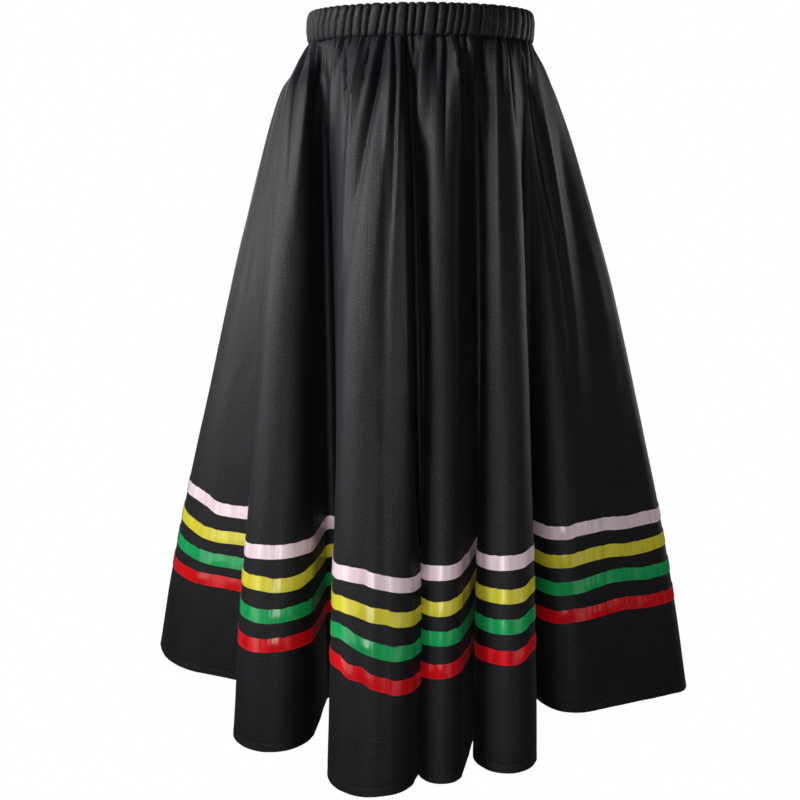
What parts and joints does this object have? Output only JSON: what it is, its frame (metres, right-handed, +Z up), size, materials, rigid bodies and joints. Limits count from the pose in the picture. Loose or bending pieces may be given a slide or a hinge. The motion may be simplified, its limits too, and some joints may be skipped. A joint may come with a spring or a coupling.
{
  "type": "swing dance skirt",
  "caption": "Full flared skirt with a gathered elastic waistband, deep hanging flutes and a stack of satin ribbons sewn round above the hem.",
  "frame": {"origin": "middle of the waistband, half way up it, on the axis of the waist opening, where the wearer's waist holds the skirt", "axes": "+Z up out of the waist opening, -Y the front of the skirt, +X the right of the front view"},
  "size_m": [0.6908, 0.6557, 0.812],
  "materials": {
    "black_cloth": "soft sateen",
    "pink_satin": "satin",
    "yellow_satin": "satin",
    "green_satin": "satin",
    "red_satin": "satin"
  },
  "bodies": {
    "root": {"waistband": "black_cloth", "front_panel": "black_cloth", "back_panel": "black_cloth", "ribbon_pink": "pink_satin", "ribbon_yellow": "yellow_satin", "ribbon_green": "green_satin", "ribbon_red": "red_satin"}
  },
  "joints": []
}
